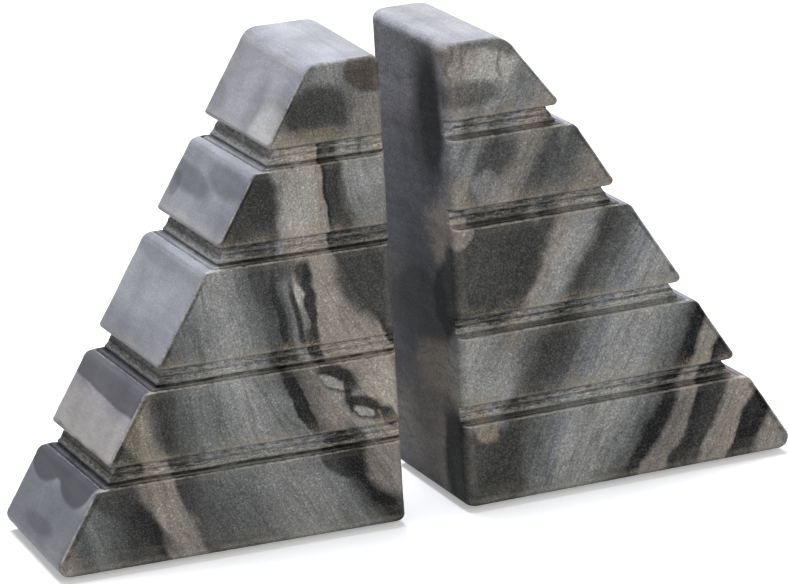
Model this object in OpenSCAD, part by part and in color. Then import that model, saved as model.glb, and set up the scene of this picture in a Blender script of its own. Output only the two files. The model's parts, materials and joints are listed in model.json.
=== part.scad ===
/* [Stone block] */
// Height of the stone, from its underside to its flat top
block_h = 165; // [145:1:220]
// Length of the underside, from the book face to the toe of the slope
base_l = 128; // [90:1:180]
// Length of the flat top, from the book face to the slope
top_l = 26; // [14:1:50]
// Depth of the stone, from front to back
block_d = 66; // [52:1:100]

/* [Tiers and grooves] */
// Height of the bottom tier
bottom_tier_h = 29.5; // [24:0.5:36]
// Height of the top tier
top_tier_h = 27; // [22:0.5:34]
// Height of the second tier and of the fourth tier
inner_tier_h = 24.5; // [18:0.5:30]
// Height of each groove between two tiers
groove_h = 6.9; // [5:0.1:10]
// How far each groove is cut into the stone, square to the face
groove_depth = 4.2; // [4:0.1:8]
// How upright the groove floor stands on the slope: 0 is along the slope, 1 is upright
floor_upright = 0.5; // [0:0.05:1]

/* [Rubbed edges] */
// Radius of the upper slope edge of every tier below the top one
slope_edge_r = 1.8; // [0.5:0.1:5]
// Radius of the upper front and back edge of every tier below the top one
ledge_edge_r = 1.5; // [0.5:0.1:2.5]
// Radius of the lower front and back edge of every tier above the bottom one
under_edge_r = 1.2; // [0.4:0.1:2]
// Radius of the lower slope edge of every tier above the bottom one
under_slope_r = 2; // [0.4:0.1:2.2]
// Radius of the edges of the flat top
top_edge_r = 2.5; // [0.5:0.1:4]
// Radius of the edges of the underside
bottom_edge_r = 2; // [0.5:0.1:4]
// Radius of the upright edges of the book face
book_edge_r = 2.5; // [0.5:0.1:4]
// Radius of the front and back edge of the slope
slope_side_r = 1.2; // [0.4:0.1:3]

/* [Pads] */
// Diameter of each round pad
pad_dia = 16; // [8:1:22]
// Thickness of each pad
pad_h = 2; // [1:0.5:4]
// Distance from the rim of each pad to the edges of the underside
pad_inset = 8; // [6:0.5:12]
// Radius of the rounded lower rim of each pad
pad_rim_r = 0.8; // [0.2:0.1:0.9]

/* [Place on the shelf] */
// Clear distance between the front edges of the two book faces
book_gap = 23; // [15:0.5:120]
// How far the right book end stands behind the left one
right_set_back = 1; // [0:0.5:20]
// How far the right book end is turned, anticlockwise seen from above
right_turn = 3; // [0:0.5:6]

/* [Hidden] */
$fn = 48;
// Cuts reach this far past the faces that they open, and necks into the tiers that they join
overrun = 3;

stone_color = [0.47, 0.47, 0.48];
pad_color = [0.09, 0.09, 0.09];

// Lean of the slope from the vertical, and its length
slope_lean = atan((base_l - top_l) / block_h);
slope_len = sqrt(pow(base_l - top_l, 2) + pow(block_h, 2));
// Direction up along the slope, in the section seen from the front
slope_up = [-sin(slope_lean), cos(slope_lean)];

// Height of every tier, from the bottom one up: the middle one takes what the others leave
middle_tier_h = block_h - bottom_tier_h - top_tier_h - 2 * inner_tier_h - 4 * groove_h;
tier_heights = [bottom_tier_h, inner_tier_h, middle_tier_h, inner_tier_h, top_tier_h];
top_tier = len(tier_heights) - 1;

pad_spread = block_d / 2 - pad_inset - pad_dia / 2;
pad_inner_x = pad_inset + pad_dia / 2;
pad_toe_x = base_l - pad_inset - pad_dia / 2;

// The pair is centred on the origin: the turned right end reaches furthest back
pair_back = max(block_d, right_set_back + block_d * cos(right_turn) + base_l * sin(right_turn));
pair_middle = pair_back / 2;

function slope_x(z) = base_l - (base_l - top_l) * z / block_h;
function unit(v) = v / norm(v);

// Waste to cut from a sharp corner so that it becomes an arc that meets both edges
module corner_waste(corner, edge_a, edge_b, r) {
    inward = unit(edge_a + edge_b);
    half = acos(edge_a * edge_b) / 2;
    centre = corner + inward * r / sin(half);
    reach = r / tan(half);
    difference() {
        polygon([corner - inward * overrun, corner + edge_a * reach, centre, corner + edge_b * reach]);
        translate(centre) circle(r);
    }
}

// Height at which a tier begins
function tier_low(i) = i == 0 ? 0 : tier_low(i - 1) + tier_heights[i - 1] + groove_h;

// Section of one tier seen from the front: upright book face and slope
module tier_section(i) {
    low = tier_low(i);
    high = low + tier_heights[i];
    difference() {
        polygon([[0, low], [slope_x(low), low], [slope_x(high), high], [0, high]]);
        corner_waste([slope_x(low), low], [-1, 0], slope_up, i == 0 ? bottom_edge_r : under_slope_r);
        corner_waste([slope_x(high), high], [-1, 0], -slope_up, i == top_tier ? top_edge_r : slope_edge_r);
        if (i == 0) corner_waste([0, 0], [1, 0], [0, 1], bottom_edge_r);
        if (i == top_tier) corner_waste([0, block_h], [1, 0], [0, -1], top_edge_r);
    }
}

// One tier, with its front and back edges rubbed round
module tier(i) {
    low = tier_low(i);
    high = low + tier_heights[i];
    difference() {
        rotate([90, 0, 0])
            linear_extrude(block_d, center = true) tier_section(i);
        for (flip = [0, 1])
            mirror([0, flip, 0]) {
                translate([-overrun, block_d / 2, 0])
                    rotate([90, 0, 90])
                        linear_extrude(base_l + 2 * overrun) {
                            corner_waste([0, low], [-1, 0], [0, 1], i == 0 ? bottom_edge_r : under_edge_r);
                            corner_waste([0, high], [-1, 0], [0, -1], i == top_tier ? top_edge_r : ledge_edge_r);
                        }
                translate([0, 0, -overrun])
                    linear_extrude(block_h + 2 * overrun)
                        corner_waste([0, block_d / 2], [1, 0], [0, -1], book_edge_r);
                translate([base_l, 0, 0])
                    rotate([0, -slope_lean, 0])
                        translate([0, 0, -base_l])
                            linear_extrude(slope_len + 2 * base_l)
                                corner_waste([0, block_d / 2], [-1, 0], [0, -1], slope_side_r);
            }
    }
}

// The stone between a tier and the next one up, whose skin is the floor of the groove there
module neck(i) {
    low = tier_low(i) + tier_heights[i];
    high = low + groove_h;
    inset = groove_depth / cos(slope_lean);
    head = slope_x(high) - inset;
    foot = slope_x(low) - inset - floor_upright * (slope_x(low) - slope_x(high));
    rotate([90, 0, 0])
        linear_extrude(block_d - 2 * groove_depth, center = true)
            polygon([[0, low - overrun], [foot, low - overrun], [foot, low],
                     [head, high], [head, high + overrun], [0, high + overrun]]);
}

// One stone with its book face at x = 0 and its toe towards +X
module stone() {
    union() {
        for (i = [0 : top_tier]) tier(i);
        for (i = [0 : top_tier - 1]) neck(i);
    }
}

// One pad with its flat upper face at z = 0
module pad_disc() {
    rotate_extrude()
        difference() {
            translate([0, -pad_h]) square([pad_dia / 2, pad_h]);
            corner_waste([pad_dia / 2, -pad_h], [-1, 0], [0, 1], pad_rim_r);
        }
}

// Carries a piece from its own stone to where that stone stands on the shelf
module on_side(side) {
    translate([0, -pair_middle, pad_h])
        if (side == "left")
            mirror([1, 0, 0]) translate([book_gap / 2, block_d / 2, 0]) children();
        else
            translate([book_gap / 2, right_set_back, 0])
                rotate([0, 0, right_turn]) translate([0, block_d / 2, 0]) children();
}

module block(side) {
    color(stone_color) on_side(side) stone();
}

module pad(side, x, y) {
    color(pad_color) on_side(side) translate([x, y, 0]) pad_disc();
}

module left_block() {
    block("left");
}

module right_block() {
    block("right");
}

left_block();
right_block();
for (side = ["left", "right"]) {
    pad(side, pad_inner_x, -pad_spread);
    pad(side, pad_inner_x, pad_spread);
    pad(side, pad_toe_x, -pad_spread);
    pad(side, pad_toe_x, pad_spread);
}
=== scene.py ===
import json
import math

import bmesh
import bpy
from mathutils import Matrix, Vector


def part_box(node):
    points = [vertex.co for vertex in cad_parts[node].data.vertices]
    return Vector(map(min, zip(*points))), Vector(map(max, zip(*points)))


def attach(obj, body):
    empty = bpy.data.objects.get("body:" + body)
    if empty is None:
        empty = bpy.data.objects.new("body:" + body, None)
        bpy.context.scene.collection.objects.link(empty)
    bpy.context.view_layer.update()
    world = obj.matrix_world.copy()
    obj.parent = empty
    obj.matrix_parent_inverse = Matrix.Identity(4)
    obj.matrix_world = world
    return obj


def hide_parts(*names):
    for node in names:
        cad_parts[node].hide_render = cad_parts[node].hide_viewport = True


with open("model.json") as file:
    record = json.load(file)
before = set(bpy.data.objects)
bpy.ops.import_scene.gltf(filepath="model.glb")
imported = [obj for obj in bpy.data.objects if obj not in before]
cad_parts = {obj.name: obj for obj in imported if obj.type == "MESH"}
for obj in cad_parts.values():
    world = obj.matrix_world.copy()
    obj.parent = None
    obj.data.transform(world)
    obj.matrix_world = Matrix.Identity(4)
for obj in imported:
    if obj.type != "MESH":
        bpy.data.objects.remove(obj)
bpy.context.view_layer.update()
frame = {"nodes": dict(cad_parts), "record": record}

mm = 0.001
quarter = math.radians(90)
mounts = {mount["name"]: mount for mount in frame["record"]["mounts"]}
print("frame loaded, with", len(frame["nodes"]), "nodes")


# Small helpers for node trees, materials and objects

def addNode(tree, kind, sockets=None, **settings):
    made = tree.nodes.new(kind)
    for name, value in settings.items():
        setattr(made, name, value)
    for key, value in (sockets or {}).items():
        if isinstance(value, bpy.types.NodeSocket):
            tree.links.new(value, made.inputs[key])
        else:
            made.inputs[key].default_value = value
    return made


def calc(tree, operation, *terms, clamp=False):
    made = addNode(tree, "ShaderNodeMath", dict(enumerate(terms)), operation=operation, use_clamp=clamp)
    return made.outputs[0]


def times(tree, first, second, clamp=False):
    return calc(tree, "MULTIPLY", first, second, clamp=clamp)


def timesPlus(tree, first, second, added):
    return calc(tree, "MULTIPLY_ADD", first, second, added)


def minus(tree, first, second):
    return calc(tree, "SUBTRACT", first, second)


def larger(tree, first, second):
    return calc(tree, "MAXIMUM", first, second)


def oneOver(tree, value):
    return calc(tree, "DIVIDE", 1.0, value)


def calcVector(tree, operation, *terms):
    return addNode(tree, "ShaderNodeVectorMath", dict(enumerate(terms)), operation=operation).outputs[0]


def scaleVector(tree, vector, factor):
    return addNode(tree, "ShaderNodeVectorMath", {0: vector, "Scale": factor}, operation="SCALE").outputs[0]


def remap(tree, value, fromLow, fromHigh, toLow=0.0, toHigh=1.0, smooth=False):
    sockets = {"Value": value, 1: fromLow, 2: fromHigh, 3: toLow, 4: toHigh}
    kind = "SMOOTHSTEP" if smooth else "LINEAR"
    return addNode(tree, "ShaderNodeMapRange", sockets, interpolation_type=kind, clamp=True).outputs[0]


def mixColor(tree, share, first, second, blend="MIX"):
    sockets = {0: share, 6: first, 7: second}
    return addNode(tree, "ShaderNodeMix", sockets, data_type="RGBA", blend_type=blend).outputs[2]


def noise(tree, vector, scale, detail=2.0, roughness=0.5, seed=None):
    sockets = {"Vector": vector, "Scale": scale, "Detail": detail, "Roughness": roughness}
    if seed is None:
        return addNode(tree, "ShaderNodeTexNoise", sockets, noise_dimensions="3D").outputs
    sockets["W"] = seed
    return addNode(tree, "ShaderNodeTexNoise", sockets, noise_dimensions="4D").outputs


def geometryStep(tree, kind, geometry, sockets=None, **settings):
    sockets = {"Geometry": geometry, **(sockets or {})}
    return addNode(tree, "GeometryNode" + kind, sockets, **settings).outputs[0]


def newGroup(name, kind, inputs, outputs):
    tree = bpy.data.node_groups.new(name, kind)
    for label, holds, value in inputs:
        socket = tree.interface.new_socket(label, in_out="INPUT", socket_type="NodeSocket" + holds)
        if value is not None:
            socket.default_value = value
    for label, holds in outputs:
        tree.interface.new_socket(label, in_out="OUTPUT", socket_type="NodeSocket" + holds)
    return tree, tree.nodes.new("NodeGroupInput").outputs, tree.nodes.new("NodeGroupOutput").inputs


def useGroup(tree, group, sockets):
    return addNode(tree, "ShaderNodeGroup", sockets, node_tree=group).outputs


def newMaterial(name):
    material = bpy.data.materials.new(name)
    material.use_nodes = True
    return material, material.node_tree, material.node_tree.nodes["Principled BSDF"]


def addBump(tree, shader, height, strength, depth):
    bump = addNode(tree, "ShaderNodeBump", {"Height": height, "Strength": strength, "Distance": depth})
    tree.links.new(bump.outputs[0], shader.inputs["Normal"])


def addObject(name, data):
    made = bpy.data.objects.new(name, data)
    bpy.context.scene.collection.objects.link(made)
    return made


def rgb(red, green, blue):
    return (red, green, blue, 1.0)


# Camera and studio

photoCamera = {
    "place": (-0.52569, -1.51732, 0.54391),
    "yaw": 19.148,  # degrees from +Y towards +X
    "pitch": 16.348,  # degrees below the horizon
    "roll": -3.339,
    "lens": 219.63,  # on a 36 mm wide sensor
    "sensor": 36.0,
}

studio = {
    "keyPlace": (0.0, 0.25, 1.25),
    "keySize": 0.9,
    "keyPower": 30.0,
    "keyColor": (0.88, 0.91, 1.0),
    "fillPlace": (0.1, -1.75, 0.9),
    "fillSize": 1.2,
    "fillPower": 15.5,
    "fillColor": (1.0, 0.985, 0.96),
    "aim": (0.0, 0.0, 0.08),
    "worldLevel": 0.24,
    "floorColor": rgb(0.85, 0.85, 0.85),  # as the camera sees it
    "floorGlow": 0.35,
    "floorBounce": rgb(0.35, 0.35, 0.35),  # what it throws back at the stones
    "floorRoughness": 0.9,
    "floorSize": 6.0,
}


def makeCamera(c):
    yaw, pitch, roll = (math.radians(c[key]) for key in ("yaw", "pitch", "roll"))
    forward = Vector((math.sin(yaw) * math.cos(pitch), math.cos(yaw) * math.cos(pitch), -math.sin(pitch)))
    level = Vector((math.cos(yaw), -math.sin(yaw), 0))
    upright = level.cross(forward)
    right = math.cos(roll) * level + math.sin(roll) * upright
    up = math.cos(roll) * upright - math.sin(roll) * level
    data = bpy.data.cameras.new("photoCamera")
    data.sensor_fit = "HORIZONTAL"
    data.sensor_width = c["sensor"]
    data.lens = c["lens"]
    camera = addObject("photoCamera", data)
    turn = Matrix((right, up, -forward)).transposed().to_4x4()
    camera.matrix_world = Matrix.Translation(c["place"]) @ turn
    bpy.context.scene.camera = camera


def makeLamp(name, place, size, power, color, aim):
    data = bpy.data.lights.new(name, "AREA")
    data.shape = "DISK"
    data.size = size
    data.energy = power
    data.color = color
    lamp = addObject(name, data)
    lamp.location = place
    lamp.rotation_euler = (Vector(aim) - Vector(place)).to_track_quat("-Z", "Y").to_euler()


def seenDirectly(tree):
    path = tree.nodes.new("ShaderNodeLightPath").outputs
    seen = larger(tree, path["Is Camera Ray"], path["Is Glossy Ray"])
    return larger(tree, seen, path["Is Transmission Ray"])


def makeStudio(s):
    world = bpy.data.worlds.new("studio")
    bpy.context.scene.world = world
    world.use_nodes = True
    tree = world.node_tree
    background = tree.nodes["Background"]
    background.inputs["Color"].default_value = rgb(1, 1, 1)
    strength = remap(tree, seenDirectly(tree), 0.0, 1.0, s["worldLevel"], 1.0)
    tree.links.new(strength, background.inputs["Strength"])

    material, tree, shader = newMaterial("studioFloor")
    shader.inputs["Roughness"].default_value = s["floorRoughness"]
    shader.inputs["Specular IOR Level"].default_value = 0.0
    shader.inputs["Emission Color"].default_value = rgb(1, 1, 1)
    seen = seenDirectly(tree)
    tree.links.new(mixColor(tree, seen, s["floorBounce"], s["floorColor"]), shader.inputs["Base Color"])
    tree.links.new(times(tree, seen, s["floorGlow"]), shader.inputs["Emission Strength"])

    half = s["floorSize"] / 2
    mesh = bpy.data.meshes.new("floor")
    corners = [(-half, -half, 0), (half, -half, 0), (half, half, 0), (-half, half, 0)]
    mesh.from_pydata(corners, [], [(0, 1, 2, 3)])
    mesh.materials.append(material)
    addObject("floor", mesh)

    makeLamp("keyLamp", s["keyPlace"], s["keySize"], s["keyPower"], s["keyColor"], s["aim"])
    makeLamp("fillLamp", s["fillPlace"], s["fillSize"], s["fillPower"], s["fillColor"], s["aim"])


makeCamera(photoCamera)
makeStudio(studio)
bpy.context.scene.view_settings.view_transform = "Standard"
print("camera and studio made")


# Shape of a stone, in millimetres: u runs from the book face to the toe, v from front to back

stone = {
    "height": 165.0,
    "baseLength": 128.0,
    "topLength": 26.0,
    "depth": 66.0,
    "bottomTier": 29.5,
    "innerTier": 24.5,
    "topTier": 27.0,
    "groove": 6.9,
    "grooveDepth": 4.2,
    "slopeEdge": 4.8,
    "ledgeEdge": 1.0,
    "underEdge": 1.2,
    "underSlope": 1.4,
    "topEdge": 1.5,
    "topSlope": 7.0,
    "topBook": 3.5,
    "topCut": 0.0,  # how far the slope of the top tier is rubbed back at the top
    "bottomEdge": 2.0,
    "bottomSlope": 4.2,
    "bookEdge": 4.0,
    "slopeSide": 1.2,
    "floorLean": 0.95,  # share of the slope's lean that the groove floor keeps
    "dish": 1.0,  # how deep the saw went into the ledge
    # how strongly the low and the high saw cuts are darkened with painted shade and some dirt
    "lowShadeAndDirt": 1.0,
    "highShadeAndDirt": 0.6,
    "sharpCorner": 0.4,
    "rowStep": 3.0,
    "frontColumns": 110,
    "slopeColumns": 84,
    "bookColumns": 20,
    "cornerColumns": 5,
}

# A groove is cut with several saw passes and the stone between them broken out. Its section runs from the
# ledge edge up to the next tier, with inset as a share of the way from that edge to the full depth
# In these sections the darkening mark is painted shade, with some dirt, in the saw cuts and under the upper
# tier
grooveLow = [
    {"inset": 0.06, "rise": -0.15, "lip": 0.3, "kerf": 0.4, "crest": 0.4},
    {"inset": 0.10, "rise": -0.9, "kerf": 1.0},
    {"inset": 0.36, "rise": -1.1, "kerf": 1.0},
    {"inset": 0.46, "rise": -0.4, "kerf": 0.7},
    {"inset": 0.54, "rise": -0.05, "bead": 0.6},
    {"inset": 0.68, "rise": 0.1, "bead": 0.6},
    {"inset": 0.80, "rise": 0.15, "kerf": 0.5},
    {"inset": 0.92, "rise": 0.1, "kerf": 0.8},
    {"inset": 1.05, "rise": 0.2, "kerf": 1.0},
    {"inset": 1.05, "rise": 0.7, "kerf": 1.0},
    {"inset": 0.97, "rise": 0.9, "kerf": 0.6},
    {"inset": 0.87, "rise": 1.1, "bead": 0.8},
    {"inset": 0.86, "rise": 1.7, "bead": 1.0, "floor": 0.5},
    {"inset": 0.89, "rise": 2.1, "bead": 0.5, "floor": 1.0},
]
brokenFloor = [
    {"inset": 0.92, "share": 0.12, "floor": 1.0},
    {"inset": 0.93, "share": 0.25, "floor": 1.0},
    {"inset": 0.98, "share": 0.33, "kerf": 0.7, "floor": 0.4},
    {"inset": 0.98, "share": 0.45, "kerf": 0.7, "floor": 0.4},
    {"inset": 0.90, "share": 0.54, "bead": 0.5, "floor": 0.8},
    {"inset": 0.90, "share": 0.68, "bead": 0.4, "floor": 1.0},
    {"inset": 0.93, "share": 0.85, "floor": 1.0},
]
grooveHigh = [
    {"inset": 0.96, "drop": 0.95, "floor": 0.8},
    {"inset": 1.04, "drop": 0.8, "kerf": 0.8},
    {"inset": 1.06, "drop": 0.65, "kerf": 1.0},
    {"inset": 1.06, "drop": 0.15, "kerf": 1.0},
    {"inset": 1.0, "drop": 0.0, "kerf": 0.9},
    {"inset": 0.8, "drop": 0.0, "kerf": 0.4},
]

# What the loft reads at each of its rows and columns
rowLengths = ("height", "level", "inset", "reach", "book", "bookRound", "slopeRound")
masks = ("lip", "floor", "kerf", "bead", "stain", "face", "polish", "crest", "slick", "topShade")
columnKeys = ("share", "side", "bookU", "bookV", "slopeU", "slopeV", "edge", "seam", "flat", "slope")


def span(first, last, count):
    return [first + (last - first) * k / count for k in range(count + 1)]


def stoneRows(s):
    lean = math.atan2(s["baseLength"] - s["topLength"], s["height"])
    halfDepth = s["depth"] / 2
    sharpHalf = quarter / 2 - lean / 2
    slopeDepth = s["grooveDepth"] / math.cos(lean)
    rows = []

    def slopeAt(z):
        return s["baseLength"] - (s["baseLength"] - s["topLength"]) * z / s["height"]

    def addRow(z, inset, reach, book=0.0, level=None, **marks):
        bare = max(inset - s["ledgeEdge"], 0)
        onTopTier = max(1 - (s["height"] - z) / s["topTier"], 0)
        corner = s["sharpCorner"] if inset < halfDepth else 0.0
        rows.append({
            "height": z,
            "level": z if level is None else level,
            "inset": inset,
            "reach": reach - s["topCut"] * onTopTier,
            "book": book,
            "bookRound": max(s["bookEdge"] - inset, corner),
            "slopeRound": max(s["slopeSide"] - bare, corner),
            **{mask: marks.get(mask, 0.0) for mask in masks},
        })

    def rounding(r, drop):
        return r - math.sqrt(max(r * r - max(r - drop, 0) ** 2, 0))

    def addCap(z, inset, reach, book):
        middle = (reach + book) / 2
        closed = [(halfDepth, 0.5), (inset + 0.6, (middle - book - 0.6) / (middle - book))]
        if z > 0:
            closed.reverse()
        for capInset, share in closed:
            addRow(z, capInset, middle + (reach - middle) * share, middle + (book - middle) * share,
                   polish=1.0 if z > 0 else 0.0, topShade=1.0 if z > 0 else 0.0)

    def addLowerEdge(zLow, r, rSlope, onUnderside):
        middle = slopeAt(zLow) - rSlope / math.tan(sharpHalf)
        end = zLow + rSlope * (1 + math.sin(lean))
        levels = [zLow + r * (1 - math.cos(turn)) for turn in span(0, quarter, 6)]
        for z in levels + span(levels[-1], end, 3)[1:]:
            rise = z - zLow
            side = rounding(r, rise)
            reach = middle + math.sqrt(max(rSlope ** 2 - (rSlope - rise) ** 2, 0))
            addRow(z, side, reach, side if onUnderside else 0.0,
                   lip=0.5 if 0.4 * r < rise < 1.1 * r else 0.1, stain=0.0 if onUnderside else 1.0,
                   face=0.3 if rise > r else 0.0, slick=1.0)

    def addUpperEdge(zHigh, r, onTop):
        rSlope = s["topSlope"] if onTop else s["slopeEdge"]
        rBook = s["topBook"] if onTop else 0.0
        middle = slopeAt(zHigh) - rSlope * math.tan(sharpHalf)
        drops = [radius * (1 - math.sin(turn)) for radius, start in ((r, 0), (rSlope, lean), (rBook, 0))
                 for turn in span(start, quarter, 6)]
        kept = []
        for drop in sorted(drops):
            if not kept or drop - kept[-1] > 0.06:
                kept.append(drop)
        for drop in reversed(kept):
            z = zHigh - drop
            reach = slopeAt(z)
            if drop < rSlope * (1 - math.sin(lean)):
                reach = middle + math.sqrt(rSlope ** 2 - (rSlope - drop) ** 2)
            addRow(z, rounding(r, drop), reach, rounding(rBook, drop),
                   lip=0.1 if onTop or drop > 0.6 * r else 1.0, face=0.3 if drop > 1 else 0.0, slick=1.0,
                   crest=1.0 if drop < 0.01 and not onTop else 0.0,
                   polish=1.0 if drop < 0.01 and onTop else 0.0,
                   topShade=max(1 - drop / rBook, 0) if onTop else 0.0)

    def addGroove(zLow, zHigh):
        sideStart = s["ledgeEdge"]
        slopeStart = s["slopeEdge"] * math.tan(sharpHalf)
        floorLow = zLow + grooveLow[-1]["rise"]
        floorHigh = zHigh - grooveHigh[0]["drop"]
        steps = [(zLow + step["rise"] * (s["dish"] if step["rise"] < 0 else 1), step) for step in grooveLow]
        steps += [(floorLow + (floorHigh - floorLow) * step["share"], step) for step in brokenFloor]
        steps += [(zHigh - step["drop"], step) for step in grooveHigh]
        for number, (z, step) in enumerate(steps):
            marks = {mask: step.get(mask, 0.0) for mask in masks}
            marks["kerf"] *= s["lowShadeAndDirt"] if "rise" in step else s["highShadeAndDirt"]
            inset = sideStart + (s["grooveDepth"] - sideStart) * step["inset"]
            slopeInset = slopeStart + (slopeDepth - slopeStart) * step["inset"]
            lost = (1 - s["floorLean"]) * math.tan(lean) * (zHigh - z) * min(step["inset"], 1)
            level = zLow + (zHigh - zLow) * (number + 0.5) / len(steps)
            addRow(z, inset, slopeAt(z) - slopeInset - lost, level=level, **marks)

    heights = [s["bottomTier"], s["innerTier"], 0.0, s["innerTier"], s["topTier"]]
    heights[2] = s["height"] - sum(heights) - 4 * s["groove"]
    toe = s["bottomSlope"] / math.tan(sharpHalf)
    addCap(0.0, s["bottomEdge"], s["baseLength"] - toe, s["bottomEdge"])
    low = 0.0
    for number, height in enumerate(heights):
        isBottom, isTop = number == 0, number == len(heights) - 1
        high = low + height
        lowRadius = s["bottomEdge"] if isBottom else s["underEdge"]
        highRadius = s["topEdge"] if isTop else s["ledgeEdge"]
        lowSlope = s["bottomSlope"] if isBottom else s["underSlope"]
        addLowerEdge(low, lowRadius, lowSlope, isBottom)
        faceLow = low + lowSlope * (1 + math.sin(lean)) + 0.5
        highSlope = s["topSlope"] if isTop else s["slopeEdge"]
        rounded = max(highRadius, highSlope * (1 - math.sin(lean)), s["topBook"] if isTop else 0)
        faceHigh = high - rounded - 0.5
        for z in span(faceLow, faceHigh, round((faceHigh - faceLow) / s["rowStep"])):
            atLow = z - faceLow < 0.1
            addRow(z, 0.0, slopeAt(z), face=1.0, slick=1.0, stain=0.7 if atLow and not isBottom else 0.0)
        addUpperEdge(high, highRadius, isTop)
        if not isTop:
            addGroove(high, high + s["groove"])
        low = high + s["groove"]
    topReach = s["topLength"] - s["topSlope"] * math.tan(sharpHalf)
    addCap(s["height"], s["topEdge"], topReach, s["topBook"])
    return rows


def stoneColumns(s):
    columns = []
    corners = s["cornerColumns"]

    def addColumn(share, side, **others):
        columns.append({**dict.fromkeys(columnKeys, 0.0), "share": share, "side": side, **others})

    def addFace(side, shares):
        for share in shares:
            nearSlope = share > 1 - 1.5 / s["frontColumns"]
            addColumn(share, side, bookU=1 - share, slopeU=share, seam=0.7 if nearSlope else 0.0)

    def addCorner(side, atSlope, leaving):
        for k in range(1, corners):
            turn = quarter * k / corners
            along = 1 - math.sin(turn) if leaving else 1 - math.cos(turn)
            across = 1 - math.cos(turn) if leaving else 1 - math.sin(turn)
            if atSlope:
                edge = 1.0 if 0.05 < across < 0.6 else 0.15
                addColumn(1.0, side, slopeU=along, slopeV=-side * across, edge=edge, slope=across)
            else:
                addColumn(0.0, side, bookU=along, bookV=-side * across, edge=0.15, flat=across)

    addFace(-1, span(0, 1, s["frontColumns"]))
    addCorner(-1, True, True)
    for side in span(-1, 1, s["slopeColumns"]):
        addColumn(1.0, side, slopeV=-side, slope=1.0)
    addCorner(1, True, False)
    addFace(1, span(1, 0, s["frontColumns"]))
    addCorner(1, False, True)
    for side in span(1, -1, s["bookColumns"]):
        addColumn(0.0, side, bookV=-side, flat=1.0)
    addCorner(-1, False, False)
    columns.append(dict(columns[0]))
    return columns


def pointMesh(name, points, lengths):
    mesh = bpy.data.meshes.new(name)
    mesh.from_pydata([(0, 0, k * mm) for k in range(len(points))], [], [])
    for key in points[0]:
        attribute = mesh.attributes.new(key, "FLOAT", "POINT")
        unit = mm if key in lengths else 1.0
        attribute.data.foreach_set("value", [point[key] * unit for point in points])
    return addObject(name, mesh)


def namedField(tree, name):
    return addNode(tree, "GeometryNodeInputNamedAttribute", {"Name": name}, data_type="FLOAT").outputs[0]


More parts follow.
